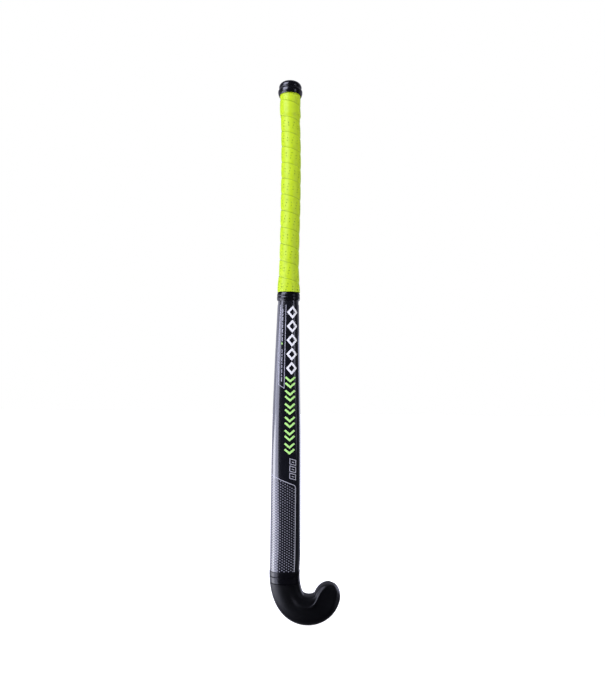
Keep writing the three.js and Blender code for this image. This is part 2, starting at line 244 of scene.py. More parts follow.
def grid_faces(rows, columns, closed_rows, start=0):
    faces = []
    row_pairs = rows if closed_rows else rows - 1
    for row in range(row_pairs):
        low = start + row * columns
        high = start + ((row + 1) % rows) * columns
        for column in range(columns):
            after = (column + 1) % columns
            faces.append((low + column, low + after, high + after, high + column))
    return faces


def loop_surface(name, rows, first_tip=None, last_tip=None):
    """A surface through rings of points: a closed sleeve, or one with a point at each end."""
    count, columns = rows.shape[:2]
    vertices = list(rows.reshape(-1, 3))
    faces = grid_faces(count, columns, first_tip is None)
    if first_tip is not None:
        for row, tip in ((0, first_tip), (count - 1, last_tip)):
            vertices.append(tip)
            apex = len(vertices) - 1
            base = row * columns
            faces += [(base + i, base + (i + 1) % columns, apex) for i in range(columns)]
    return new_object(name, vertices, faces)


def soften_edges(obj, degrees=40):
    obj.data.polygons.foreach_set("use_smooth", [True] * len(obj.data.polygons))
    bpy.context.view_layer.objects.active = obj
    obj.select_set(True)
    bpy.ops.object.shade_smooth_by_angle(angle=math.radians(degrees))
    obj.select_set(False)


def finish_piece(obj, material, slot, *nodes):
    obj.data.materials.clear()
    obj.data.materials.append(material)
    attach(obj, "root")
    if nodes:
        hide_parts(*nodes)
    return obj


# ---- Materials ----


def new_material(name):
    material = bpy.data.materials.new(name)
    material.use_nodes = True
    nodes = material.node_tree.nodes
    nodes.clear()
    output = nodes.new("ShaderNodeOutputMaterial")
    shader = nodes.new("ShaderNodeBsdfPrincipled")
    material.node_tree.links.new(shader.outputs["BSDF"], output.inputs["Surface"])
    return material, shader


def add_node(material, kind, **settings):
    node = material.node_tree.nodes.new(kind)
    for key, value in settings.items():
        if key in node.inputs:
            node.inputs[key].default_value = value
        else:
            setattr(node, key, value)
    return node


def link(material, source, target):
    material.node_tree.links.new(source, target)


def noise(material, scale, detail=3.0, stretch=(1, 1, 1)):
    """Noise in the row's frame; scale is in features for each metre."""
    coordinates = add_node(material, "ShaderNodeTexCoord")
    mapping = add_node(material, "ShaderNodeMapping")
    mapping.inputs["Scale"].default_value = stretch
    texture = add_node(material, "ShaderNodeTexNoise", Scale=scale, Detail=detail)
    link(material, coordinates.outputs["Object"], mapping.inputs["Vector"])
    link(material, mapping.outputs["Vector"], texture.inputs["Vector"])
    return texture.outputs["Fac"]


def bump(material, shader, height, distance):
    node = add_node(material, "ShaderNodeBump", Strength=1.0, Distance=distance)
    link(material, height, node.inputs["Height"])
    link(material, node.outputs["Normal"], shader.inputs["Normal"])


def colour_by(material, shader, factor, dark, light):
    """Blends the colour from dark to light over the middle of the factor's range."""
    node = add_node(material, "ShaderNodeValToRGB")
    for stop, place, colour in zip(node.color_ramp.elements, (0.3, 0.7), (dark, light)):
        stop.position = place
        stop.color = (*colour, 1)
    link(material, factor, node.inputs["Fac"])
    link(material, node.outputs["Color"], shader.inputs["Base Color"])


def roughness_by(material, shader, factor, low, high):
    """Runs the roughness from low to high over the middle half of the factor's range."""
    node = add_node(material, "ShaderNodeMapRange")
    for name, value in zip(("From Min", "From Max", "To Min", "To Max"), (0.25, 0.75, low, high)):
        node.inputs[name].default_value = value
    link(material, factor, node.inputs["Value"])
    link(material, node.outputs["Result"], shader.inputs["Roughness"])


def moulded_black(name, roughness, reflectance):
    material, shader = new_material(name)
    colour_by(material, shader, noise(material, 160), (0.0012, 0.0012, 0.002), (0.0024, 0.0024, 0.0036))
    roughness_by(material, shader, noise(material, 420), roughness * 0.8, roughness * 1.25)
    shader.inputs["Specular IOR Level"].default_value = reflectance
    bump(material, shader, noise(material, 900, 4), 0.000004)
    return material


def lacquered_black(name):
    material, shader = new_material(name)
    fibres = noise(material, 900, 3, (1, 1, 0.06))
    colour_by(material, shader, fibres, (0.0022, 0.0026, 0.0048), (0.0048, 0.0054, 0.0085))
    roughness_by(material, shader, noise(material, 300), 0.16, 0.24)
    shader.inputs["Specular IOR Level"].default_value = 1.0
    shader.inputs["Coat Weight"].default_value = 1.0
    shader.inputs["Coat IOR"].default_value = 1.6
    shader.inputs["Coat Roughness"].default_value = 0.08
    bump(material, shader, noise(material, 260, 2), 0.00002)
    return material


def matte_black(name):
    material, shader = new_material(name)
    mottle = noise(material, 90, 4)
    colour_by(material, shader, mottle, (0.0004, 0.0004, 0.0007), (0.0011, 0.0011, 0.0017))
    roughness_by(material, shader, noise(material, 500, 5), 0.34, 0.42)
    shader.inputs["Specular IOR Level"].default_value = 0.42
    bump(material, shader, noise(material, 1800, 5), 0.00003)
    return material


def grip_lime(name, dark, light):
    material, shader = new_material(name)
    colour_by(material, shader, noise(material, 140, 4), dark, light)
    roughness_by(material, shader, noise(material, 700, 4), 0.42, 0.5)
    shader.inputs["Specular IOR Level"].default_value = 0.5
    bump(material, shader, noise(material, 900, 4), 0.00002)
    return material


def ink(name, colour):
    material, shader = new_material(name)
    faint = tuple(channel * 0.93 for channel in colour)
    colour_by(material, shader, noise(material, 1200, 3), faint, colour)
    roughness_by(material, shader, noise(material, 800), 0.238, 0.336)
    bump(material, shader, noise(material, 2400, 3), 0.00001)
    return material


def wood(name, dark, light):
    material, shader = new_material(name)
    grain = noise(material, 420, 6, (1, 1, 0.05))
    colour_by(material, shader, grain, dark, light)
    roughness_by(material, shader, grain, 0.5, 0.75)
    bump(material, shader, grain, 0.0001)
    return material


def sheet_rubber(name):
    material, shader = new_material(name)
    grain = noise(material, 1500, 4)
    colour_by(material, shader, grain, (0.012, 0.012, 0.012), (0.03, 0.03, 0.03))
    roughness_by(material, shader, grain, 0.7, 0.9)
    bump(material, shader, grain, 0.00008)
    return material


CAP_BLACK = moulded_black("cap_black", 0.2, 1.0)
TAPE_BLACK = moulded_black("tape_black", 0.2, 0.7)
RING_BLACK = moulded_black("ring_black", 0.2, 0.6)
SHAFT_BLACK = lacquered_black("shaft_black")
HEAD_BLACK = matte_black("head_black")
LIME = grip_lime("grip_lime", (0.465, 0.64, 0.001), (0.525, 0.705, 0.003))
# A darker lime for the insides of the perforations: painted shade in the holes.
LIME_HOLE_SHADE = grip_lime("grip_hole_painted_shade", (0.22, 0.38, 0.001), (0.28, 0.46, 0.002))
# A darker lime for the faces along each seam: painted shade in the groove between turns.
LIME_SEAM_SHADE = grip_lime("grip_seam_painted_shade", (0.31, 0.45, 0.001), (0.36, 0.50, 0.002))
INK_WHITE = ink("ink_white", (0.92, 0.92, 0.94))
INK_GREEN = ink("ink_green", (0.52, 0.95, 0.27))
INK_GREY = ink("ink_grey", (0.42, 0.42, 0.47))
INK_DOT = ink("ink_dot", (0.20, 0.20, 0.235))
CANE = wood("cane_wood", (0.42, 0.27, 0.11), (0.66, 0.47, 0.24))
MULBERRY = wood("mulberry_wood", (0.35, 0.19, 0.06), (0.55, 0.34, 0.13))
RUBBER = sheet_rubber("spring_rubber_black")

# ---- Camera ----

CAMERA_DISTANCE = 897.2
CAMERA_HEIGHT = 464.2
CAMERA_ASIDE = 24.5
FOCAL_PIXELS = 540.0
ROLL_DEGREES = 0.8
SENSOR = 36.0
FRAME_HEIGHT_PIXELS = 700
WIDEST_LINE_Y = -28.0


def add_camera():
    data = bpy.data.cameras.new("camera")
    data.sensor_fit = "AUTO"
    data.sensor_width = SENSOR
    data.lens = FOCAL_PIXELS * SENSOR / FRAME_HEIGHT_PIXELS
    data.clip_start = 0.01
    camera = bpy.data.objects.new("camera", data)
    bpy.context.scene.collection.objects.link(camera)
    place_mm = np.array([CAMERA_ASIDE, WIDEST_LINE_Y - CAMERA_DISTANCE, CAMERA_HEIGHT]) + SHIFT
    camera.location = Vector(place_mm * MM)
    camera.rotation_mode = "XYZ"
    camera.rotation_euler = (math.radians(90), math.radians(-ROLL_DEGREES), 0)
    bpy.context.scene.camera = camera


add_camera()

# ---- End cap ----

CAP_SEGMENTS = 96
CAP_SOCKET_RADIUS = 18.2
CAP_HANDLE_RADIUS = 14.1
LIP_MIDDLE = 7.2
LIP_TOP = 11.1
LIP_BULGE = 2.1
GROOVE_MIDDLE = 11.8
SHOULDER_WIDTH = 9.0
SHOULDER_DROP = 7.8
CROWN_DROP = 0.4


def turned(name, outline, segments, middle, bottom):
    """A surface turned about the butt's middle; the outline starts and ends on the axis."""
    angles = np.linspace(0, 2 * math.pi, segments, endpoint=False)
    radius = np.array([p[0] for p in outline[1:-1]])
    height = np.array([p[1] for p in outline[1:-1]])
    x = radius[:, None] * np.cos(angles) + middle[0]
    y = radius[:, None] * np.sin(angles) + middle[1]
    z = height[:, None] + bottom + 0 * x
    rows = (np.stack([x, y, z], axis=-1) + SHIFT) * MM
    first, last = (np.array([middle[0], middle[1], bottom + outline[end][1]]) for end in (0, -1))
    return loop_surface(name, rows, (first + SHIFT) * MM, (last + SHIFT) * MM)


def arc(middle, radius, start, end, steps):
    angles = np.radians(np.linspace(start, end, steps + 1))
    x = middle[0] + radius[0] * np.cos(angles)
    z = middle[1] + radius[1] * np.sin(angles)
    return list(zip(x, z))


def cap_outline():
    """The cap's sockets from inside, then its lip, the groove over it and the domed top."""
    socket_top = CAP_HEIGHT - CAP_TOP_WALL
    outline = [(0, socket_top), (CAP_HANDLE_RADIUS, socket_top)]
    outline += [(CAP_HANDLE_RADIUS, CAP_SOCKET_DEPTH), (CAP_SOCKET_RADIUS, CAP_SOCKET_DEPTH)]
    outline += [(CAP_SOCKET_RADIUS, 0.2)]
    for offset in np.linspace(-0.985, 0.985, 25):
        reach = LIP_MIDDLE if offset < 0 else LIP_TOP - LIP_MIDDLE
        outline.append((CAP_LIP_RADIUS - LIP_BULGE * offset ** 2, LIP_MIDDLE + reach * offset))
    outline += arc((CAP_DOME_RADIUS, GROOVE_MIDDLE), (0.7, 0.8), 240, 130, 6)
    shoulder = (CAP_DOME_RADIUS - SHOULDER_WIDTH, CAP_HEIGHT - SHOULDER_DROP - CROWN_DROP)
    outline += arc(shoulder, (SHOULDER_WIDTH, SHOULDER_DROP), 0, 82, 16)
    outline += [(7, CAP_HEIGHT - CROWN_DROP / 2), (3.5, CAP_HEIGHT - CROWN_DROP / 8), (0, CAP_HEIGHT)]
    return outline


def make_cap():
    butt = shaft_frames([STICK_LENGTH])
    middle = (butt["x"][0], -butt["bow"][0] - butt["faceDepth"][0])
    cap = turned("end_cap_moulded", cap_outline(), CAP_SEGMENTS, middle, STICK_LENGTH - CAP_HEIGHT)
    soften_edges(cap, 50)
    return finish_piece(cap, CAP_BLACK, "cap_plastic", "end_cap")


# ---- Grip ----

GRIP_TOP = STICK_LENGTH - CAP_HEIGHT + CAP_SOCKET_DEPTH - GAP
GRIP_COLUMNS = 86
GRIP_FIRST_SEAM = 857.4
GRIP_PITCH = 27.05
GRIP_DRIFT = 3.4
GRIP_DRIFT_TURNS = 9.0
GRIP_TURNS = (-3, 13)
STRIP_WIDTH = 26.0
STRIP_RADIUS = 16.0
STRIP_CROWN = 0.4
SEAM_DEPTH = 0.9
# Rows of faces at each edge of the strip that take the darker lime of painted shade.
SEAM_SHADE_ROWS = 2
DOUBLED_EXTRA = 1.3
FIRST_HOLE_TURN = 0.15
LAST_HOLE_TURN = 11.6
HOLE_STEP = 7
HOLE_RIMS = ((0.85, 0.0), (0.72, 0.25), (0.62, 0.9))
ROUND_HOLE = ((-1, -1), (0, -1), (1, -1), (1, 0), (1, 1), (0, 1), (-1, 1), (-1, 0))


def seam_height(turns):
    """Height of the strip's upper edge after that many turns from the left side."""
    drift = GRIP_DRIFT * np.sin(math.pi * np.clip(turns / GRIP_DRIFT_TURNS, 0, 1))
    return GRIP_FIRST_SEAM - GRIP_PITCH * turns + drift


def strip_rows():
    """Places across the strip, closer together at its two edges, in shares of its width."""
    near_edge = [0, 0.25, 0.6, 1.1, 1.9]
    middle = list(np.arange(3.1, 22.8, 1.2))
    far_edge = [STRIP_WIDTH - distance for distance in near_edge[:0:-1]]
    return np.array(near_edge + middle + far_edge) / STRIP_WIDTH


def strip_lift(share, turns):
    """How far the strip's surface stands off its mean: a low crown with a groove at each edge."""
    near = share * STRIP_WIDTH
    far = (1 - share) * STRIP_WIDTH
    crown = STRIP_CROWN * np.sin(math.pi * share) ** 0.8
    groove = SEAM_DEPTH * (np.exp(-near / 0.5) + np.exp(-far / 2.0))
    doubled = DOUBLED_EXTRA * (1 - np.clip((turns + share) / 0.12, 0, 1))
    return crown - 0.15 - groove + doubled


def grip_vertices(columns, share, sink=0.0):
    """Points of the strip's surface. columns counts round the helix, share runs across it."""
    turns = columns / GRIP_COLUMNS
    height = np.clip(seam_height(turns + share), GRIP_BOTTOM, GRIP_TOP)
    angle = math.pi + 2 * math.pi * turns
    base = read_table(SHAFT, "height", height)
    lift = GAP + GRIP_WALL + strip_lift(share, turns) - sink
    depth = np.where(np.sin(angle) > 0, base["faceDepth"], base["backDepth"])
    x = base["aside"] + (base["halfWidth"] + lift) * np.cos(angle)
    y = -base["bow"] - base["faceDepth"] + (depth + lift) * np.sin(angle)
    return (np.stack([x, y, height], axis=-1) + SHIFT) * MM


def perforations(middle_row):
    """Grid places of the perforations: slanted columns of three and of two, by turns."""
    first = int(FIRST_HOLE_TURN * GRIP_COLUMNS)
    last = math.ceil(LAST_HOLE_TURN * GRIP_COLUMNS)
    holes = []
    for group, column in enumerate(range(first, last, HOLE_STEP)):
        rows = (-4, 0, 4) if group % 2 == 0 else (-2, 2)
        holes += [(column - round(row / 4), middle_row + row) for row in rows]
    return sorted(holes)


def strip_index(column, row, row_count):
    """Number of a grid point; past the strip's far edge comes the next turn's near edge."""
    if row == row_count:
        column += GRIP_COLUMNS
        row = 0
    return (column - GRIP_TURNS[0] * GRIP_COLUMNS) * row_count + row


def strip_faces(heights, holes):
    """The strip's faces round the holes, and apart from them those at each seam, which take a darker lime
    as painted shade in the groove.
    """
    row_count = heights.shape[1]
    levels = heights.ravel()
    corners = ((0, 0), (-1, 0), (0, -1), (-1, -1))
    open_places = {(column + across, row + up) for column, row in holes for across, up in corners}
    plain = []
    seam_shade_faces = []
    first, last = (turn * GRIP_COLUMNS for turn in GRIP_TURNS)
    for column in range(first, last):
        for row in range(row_count):
            past_end = row + 1 == row_count and column + 1 + GRIP_COLUMNS > last
            if (column, row) in open_places or past_end:
                continue
            places = ((column, row), (column + 1, row), (column + 1, row + 1), (column, row + 1))
            quad = tuple(strip_index(c, r, row_count) for c, r in places)
            reached = levels[list(quad)]
            if reached.max() <= GRIP_BOTTOM or reached.min() >= GRIP_TOP:
                continue
            # Faces at the strip's edges take the darker lime, painted shade in the groove.
            at_seam = row < SEAM_SHADE_ROWS or row >= row_count - SEAM_SHADE_ROWS
            (seam_shade_faces if at_seam else plain).append(quad)
    return plain, seam_shade_faces


def add_hole(column, row, shares, vertices, surround, hole_shade_faces):
    """A round, blind hole at a grid place, joined to the grid points about it; its sides and floor take a
    darker lime as painted shade.
    """
    row_count = len(shares)
    loops = [[strip_index(column + across, row + up, row_count) for across, up in ROUND_HOLE]]
    per_column = 2 * math.pi * STRIP_RADIUS / GRIP_COLUMNS
    away = np.array(ROUND_HOLE) / np.linalg.norm(ROUND_HOLE, axis=1)[:, None]
    for radius, sink in HOLE_RIMS:
        start = len(vertices)
        columns = column + away[:, 0] * radius / per_column
        across = shares[row] + away[:, 1] * radius / STRIP_WIDTH
        vertices += list(grip_vertices(columns, across, sink))
        loops.append(list(range(start, start + len(away))))
    for outer, inner in zip(loops, loops[1:]):
        band = surround if outer is loops[0] else hole_shade_faces
        for i in range(len(outer)):
            after = (i + 1) % len(outer)
            band.append((outer[i], outer[after], inner[after], inner[i]))
    hole_shade_faces.append(tuple(loops[-1]))


def make_grip():
    shares = strip_rows()
    holes = perforations(len(shares) // 2)
    columns = np.arange(GRIP_TURNS[0] * GRIP_COLUMNS, GRIP_TURNS[1] * GRIP_COLUMNS + 1)
    grid_columns, grid_shares = np.meshgrid(columns.astype(float), shares, indexing="ij")
    vertices = list(grip_vertices(grid_columns.ravel(), grid_shares.ravel()))
    heights = np.clip(seam_height(grid_columns / GRIP_COLUMNS + grid_shares), GRIP_BOTTOM, GRIP_TOP)
    plain, seam_shade_faces = strip_faces(heights, holes)
    hole_shade_faces = []
    for column, row in holes:
        add_hole(column, row, shares, vertices, plain, hole_shade_faces)
    grip = new_object("grip_strip", vertices, plain + hole_shade_faces + seam_shade_faces)
    # Slot 1 is a darker lime on the insides of the holes, painted shade.
    shade = [0] * len(plain) + [1] * len(hole_shade_faces) + [2] * len(seam_shade_faces)
    # Slot 2 is a darker lime on the seam faces, painted shade in the grooves.
    for material in (LIME, LIME_HOLE_SHADE, LIME_SEAM_SHADE):
        grip.data.materials.append(material)
    grip.data.polygons.foreach_set("material_index", shade)
    weld(grip)
    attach(grip, "root")
    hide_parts("grip_wrap")
    return grip


def weld(obj):
    """Joins points that meet and drops loose ones and faces without area."""
    bm = bmesh.new()
    bm.from_mesh(obj.data)
    loose = [v for v in bm.verts if not v.link_faces]
    bmesh.ops.delete(bm, geom=loose, context="VERTS")
    bmesh.ops.remove_doubles(bm, verts=bm.verts, dist=1e-6)
    bmesh.ops.dissolve_degenerate(bm, edges=bm.edges, dist=1e-7)
    bm.to_mesh(obj.data)
    bm.free()
    obj.data.polygons.foreach_set("use_smooth", [True] * len(obj.data.polygons))


# ---- Collar, film, sleeve, rings and overwrap ----


def sleeve_rows(frames, outside, inside):
    """Rings down the outside and back up the inside of a sleeve."""
    outer = rings(frames, FINE, outside)
    inner = rings(frames, FINE, inside)[::-1]
    return np.concatenate([outer, inner])


def between(top, bottom, step):
    return np.linspace(top, bottom, max(2, int(round((top - bottom) / step)) + 1))


def eased(t):
    """A smooth step from 0 at 0 to 1 at 1."""
    t = np.clip(t, 0, 1)
    return t * t * (3 - 2 * t)


COLLAR_WALL = 0.7
COLLAR_BEAD = 0.5
COLLAR_SWELL = 0.8


def make_collar():
    top = GRIP_BOTTOM - GAP
    heights = between(top, top - COLLAR_HEIGHT, 0.3)
    share = (top - heights) / COLLAR_HEIGHT
    bead = COLLAR_BEAD * np.sqrt(np.abs(np.sin(2 * math.pi * share)))
    swell = COLLAR_SWELL * np.sin(math.pi * share) ** 0.7
    outside = (GAP + COLLAR_WALL + bead + swell)[:, None]
    rows = sleeve_rows(shaft_frames(heights), outside, GAP)
    collar = loop_surface("collar_tape", rows)
    soften_edges(collar, 60)
    return finish_piece(collar, TAPE_BLACK, "collar_tape", "grip_collar")


def make_film():
    heights = between(FILM_TOP, FILM_BOTTOM, 4)
    rows = sleeve_rows(shaft_frames(heights), GAP + FILM_WALL, GAP)
    film = loop_surface("film_skin", rows)
    soften_edges(film, 50)
    return finish_piece(film, SHAFT_BLACK, "printed_film", "shaft_film")


def stick_frames(top, shaft_step, hook_step, nose_rows):
    """Frames down the shaft from top, round the hook and on into the toe's nose."""
    shaft = shaft_frames(between(top, SHAFT["height"][0], shaft_step)[:-1])
    return joined(shaft, hook_frames(hook_step, nose_rows))


def make_sleeve():
    frames = stick_frames(STICK_LENGTH - CAP_TOP_WALL - GAP, 6, 4, 10)
    outer = rings(frames, FINE, 0.0)
    inner = rings(frames, FINE, -SLEEVE_WALL)
    tips = tip_point(frames, 0.0), tip_point(frames, -SLEEVE_WALL)
    sleeve = loop_surface("sleeve_skin", np.concatenate([outer[::-1], inner]), *tips)
    soften_edges(sleeve, 50)
    return finish_piece(sleeve, SHAFT_BLACK, "glass_fibre", "shaft_sleeve")


UPPER_RING_TOP = FILM_BOTTOM - GAP
LOWER_RING_TOP = UPPER_RING_TOP - UPPER_RING_HEIGHT - GAP
OVERWRAP_TOP = LOWER_RING_TOP - LOWER_RING_HEIGHT - GAP
ABOVE_RINGS = 110.0
PAST_RINGS_TURN = 40
RING_EDGE = 0.9
NEAR_SIDE_OF_TOE = 38


def level_rings(heights, grow):
    """The stick's surface cut level: each point slides along the hook to its height."""
    frames = stick_frames(ABOVE_RINGS, 2, 1, 4)
    keep = frames["turn"] < math.radians(PAST_RINGS_TURN)
    frames = {field: frames[field][keep] for field in frames}
    points = rings(frames, FINE, grow)
    level = (heights + SHIFT[2]) * MM
    columns = []
    for column in range(points.shape[1]):
        path = points[::-1, column]
        axes = [np.interp(level, path[:, 2], path[:, axis]) for axis in range(3)]
        columns.append(np.stack(axes, axis=-1))
    return np.stack(columns, axis=1)


def make_ring(name, top, height, node):
    """A level band round the hook with rounded edges."""
    bottom = top - height
    heights = between(top, bottom, 0.5)
    inner = level_rings(heights, GAP)
    outer = level_rings(heights, GAP + RING_WALL)
    t = np.clip(np.minimum(top - heights, heights - bottom) / RING_EDGE, 0, 1)
    rounded = RING_EDGE * (1 - np.sqrt(1 - (1 - t) ** 2))
    share = ((RING_WALL - rounded) / RING_WALL)[:, None, None]
    outer = inner + (outer - inner) * share
    ring = loop_surface(name, np.concatenate([outer, inner[::-1]]))
    soften_edges(ring, 60)
    return finish_piece(ring, RING_BLACK, "ring_gloss", node)


def hump(across, middle, spread, power=2):
    """A smooth bump of height 1 at a distance across."""
    return np.exp(-(((across - middle) / spread) ** power))


def head_relief(degrees):
    """The overwrap's relief and its squared shoulder, by how far the hook has turned.

    The relief says how far the back sinks at a distance across. Soft folds follow the bend,
    and a raised ridge starts at the bend and runs up to the toe's tip round a slight dish.
    """
    turned_in = eased((degrees - 5) / 40)[:, None]
    ridge_height = eased((degrees - 55) / 40)[:, None]
    towards_toe = eased((degrees - 85) / 60)[:, None]
    at_tip = eased((degrees - 135) / 24)[:, None]
    ridge_place = 10.5 + 5.5 * towards_toe

    def relief(across):
        folds = 0.7 * hump(across, 4.5, 3.0) - 0.9 * hump(across, 12, 3.5)
        dish = 0.8 * hump(across, 1, 11, 4)
        ridge = 1.3 * hump(across, ridge_place, 1.3) * ridge_height
        far_ridge = 1.3 * hump(across, -16, 1.3) * at_tip
        return turned_in * (folds * (1 - towards_toe) + dish * towards_toe - ridge - far_ridge)

    return relief, 2.0 * turned_in


def cut_level(obj, height, reach):
    """Cuts a sleeve's top off level up to reach, leaving the toe whole, and closes its rim."""
    limit = (reach + SHIFT[0]) * MM
    cut_height = (height + SHIFT[2]) * MM
    bm = bmesh.new()
    bm.from_mesh(obj.data)
    near = [v for v in bm.verts if v.co.x < limit]
    near += [e for e in bm.edges if all(v.co.x < limit for v in e.verts)]
    near += [f for f in bm.faces if all(v.co.x < limit for v in f.verts)]
    level = {"plane_co": (0, 0, cut_height), "plane_no": (0, 0, 1)}
    bmesh.ops.bisect_plane(bm, geom=near, dist=1e-7, clear_outer=True, **level)
    bmesh.ops.bridge_loops(bm, edges=[e for e in bm.edges if e.is_boundary])
    bmesh.ops.recalc_face_normals(bm, faces=bm.faces)
    bm.to_mesh(obj.data)
    bm.free()


def make_overwrap():
    frames = stick_frames(ABOVE_RINGS, 2, 2, 20)
    relief, squared = head_relief(np.degrees(frames["turn"]))
    outer = rings(frames, FINE_HEAD, GAP + OVERWRAP_WALL, squared, relief)
    inner = rings(frames, FINE_HEAD, GAP)
    tips = tip_point(frames, GAP + OVERWRAP_WALL), tip_point(frames, GAP)
    head = loop_surface("overwrap_skin", np.concatenate([outer[::-1], inner]), *tips)
    cut_level(head, OVERWRAP_TOP, NEAR_SIDE_OF_TOE)
    soften_edges(head, 50)
    return finish_piece(head, HEAD_BLACK, "head_matte", "head_overwrap")


# ---- Print on the film ----

CHART_FORM = section(16, 10, 96)


def film_chart():
    """Points of the film's surface by height and by distance round it from the back's middle."""
    back_middle = int(np.argmin(CHART_FORM["sine"]))
    form = {key: np.roll(value, -back_middle) for key, value in CHART_FORM.items()}
    heights = np.arange(FILM_BOTTOM - 1, FILM_TOP + 3, 2.0)
    frames = shaft_frames(heights)
    surface = rings(frames, form, GAP + FILM_WALL)
    above = rings(frames, form, GAP + FILM_WALL + 1)
    surface = np.concatenate([surface, surface[:, :1]], axis=1)
    above = np.concatenate([above, above[:, :1]], axis=1)
    steps = np.linalg.norm(np.diff(surface, axis=1), axis=2) / MM
    around_film = np.concatenate([np.zeros((len(heights), 1)), np.cumsum(steps, axis=1)], axis=1)
    return heights, around_film, surface, above - surface


FILM_HEIGHTS, FILM_AROUND, FILM_SURFACE, FILM_OUTWARD = film_chart()


def on_film(points, lift):
    """Places on the film from (distance round, height) pairs, stood off by lift."""
    points = np.asarray(points, float).reshape(-1, 2)
    row = (points[:, 1] - FILM_HEIGHTS[0]) / (FILM_HEIGHTS[1] - FILM_HEIGHTS[0])
    low = np.clip(row.astype(int), 0, len(FILM_HEIGHTS) - 2)
    share = row - low
    placed = np.zeros((len(points), 3))
    for step, weight in ((0, 1 - share), (1, share)):
        for i, (r, distance) in enumerate(zip(low + step, points[:, 0])):
            round_row = FILM_AROUND[r]
            column = np.interp(distance % round_row[-1], round_row, np.arange(len(round_row)))
            first = min(int(column), FILM_AROUND.shape[1] - 2)
            t = column - first
            here = FILM_SURFACE[r] + FILM_OUTWARD[r] * lift
            placed[i] += weight[i] * (here[first] * (1 - t) + here[first + 1] * t)
    return placed


INK_TOP = 0.07
INK_BOTTOM = -0.05


class Print:
    """Gathers patches of ink, each a closed sheet lying on the film."""

    def __init__(self):
        self.vertices = []
        self.faces = []

    def sheet(self, grid, closed):
        """A sheet through a grid of (distance round, height) pairs."""
        rows, columns = grid.shape[:2]
        top = len(self.vertices)
        self.vertices += list(on_film(grid, INK_TOP))
        bottom = len(self.vertices)
        self.vertices += list(on_film(grid, INK_BOTTOM))
        count = rows if closed else rows - 1
        for row in range(count):
            after = (row + 1) % rows
            for column in range(columns - 1):
                a, b = row * columns + column, after * columns + column
                self.faces.append((top + a, top + b, top + b + 1, top + a + 1))
                self.faces.append((bottom + a, bottom + a + 1, bottom + b + 1, bottom + b))
            for column in (0, columns - 1):
                a, b = row * columns + column, after * columns + column
                self.faces.append((top + a, top + b, bottom + b, bottom + a))
        if not closed:
            for row in (0, rows - 1):
                for column in range(columns - 1):
                    a = row * columns + column
                    self.faces.append((top + a, top + a + 1, bottom + a + 1, bottom + a))

    def patch(self, outline):
        """A convex patch, fanned from its middle."""
        outline = np.asarray(outline, float)
        count = len(outline)
        points = np.concatenate([outline, outline.mean(axis=0)[None]])
        top = len(self.vertices)
        self.vertices += list(on_film(points, INK_TOP))
        bottom = len(self.vertices)
        self.vertices += list(on_film(points, INK_BOTTOM))
        for i in range(count):
            j = (i + 1) % count
            self.faces.append((top + i, top + j, top + count))
            self.faces.append((bottom + i, bottom + j, bottom + count))
            self.faces.append((top + i, top + j, bottom + j, bottom + i))

    def stroke(self, path, width, closed=False, step=2.0):
        """A line of even width along a path, mitred at its corners."""
        path = np.asarray(path, float)
        count = len(path)
        sides = []
        for i in range(count):
            before = path[i] - path[i - 1] if closed or i > 0 else path[1] - path[0]
            is_last = i == count - 1 and not closed
            after = path[-1] - path[-2] if is_last else path[(i + 1) % count] - path[i]
            before = before / np.linalg.norm(before)
            after = after / np.linalg.norm(after)
            normal = np.array([-before[1] - after[1], before[0] + after[0]])
            normal /= np.linalg.norm(normal)
            sides.append(normal / max(0.35, normal @ np.array([-before[1], before[0]])) * width / 2)
        across = np.linspace(-1, 1, 3)
        rows = []
        for i in range(count if closed else count - 1):
            j = (i + 1) % count
            pieces = max(1, int(round(np.linalg.norm(path[j] - path[i]) / step)))
            for piece in range(pieces):
                t = piece / pieces
                middle = path[i] * (1 - t) + path[j] * t
                side = sides[i] * (1 - t) + sides[j] * t
                rows.append(middle + across[:, None] * side)
        if not closed:
            rows.append(path[-1] + across[:, None] * sides[-1])
        self.sheet(np.array(rows), closed)

    def make(self, name, material):
        ink_sheets = new_object(name, self.vertices, self.faces, smooth=False)
        return finish_piece(ink_sheets, material, "printed_film")


WHITE_MARKS = 5
WHITE_PITCH = 22.9
WHITE_MIDDLE = 7.7
GREEN_MARKS = 6
GREEN_PITCH = 21.7
GREEN_MIDDLE = 5.8
GREEN_SHOULDERS = (1.9, 11.4)
GREEN_DROP = 6.8
MARK_TOP = 536.0
MARK_LENGTH = 20.4
MARK_HALF_WIDTH = 9.1
MARK_STROKE = 3.2
CHEVRON_INSET = 1.2
SMALL_DIAMOND = (-9.0, 474.5)


def diamond(middle, height, half_width, half_length):
    return [
        (middle - half_width, height),
        (middle, height + half_length),
        (middle + half_width, height),
        (middle, height - half_length),
    ]


def print_marks():
    """A row of diamonds, then a row of double chevrons that point down the stick.

    A stroke's corners reach past its path, so the paths lie inside the marks' outlines.
    """
    white = Print()
    inset = MARK_STROKE * 0.62
    for index in range(WHITE_MARKS):
        height = MARK_TOP - MARK_LENGTH / 2 - index * WHITE_PITCH
        ring = diamond(WHITE_MIDDLE, height, MARK_HALF_WIDTH - inset, MARK_LENGTH / 2 - inset)
        white.stroke(ring, MARK_STROKE, closed=True)
    white.make("print_white_diamonds", INK_WHITE)
    green = Print()
    green_top = MARK_TOP - WHITE_MARKS * WHITE_PITCH
    reach = MARK_HALF_WIDTH - CHEVRON_INSET
    for index in range(GREEN_MARKS):
        for drop in GREEN_SHOULDERS:
            shoulder = green_top - index * GREEN_PITCH - drop
            left = (GREEN_MIDDLE - reach, shoulder)
            right = (GREEN_MIDDLE + reach, shoulder)
            green.stroke([left, (GREEN_MIDDLE, shoulder - GREEN_DROP), right], MARK_STROKE)
    green.patch(diamond(*SMALL_DIAMOND, 1.2, 2.2))
    green.make("print_green_chevrons", INK_GREEN)


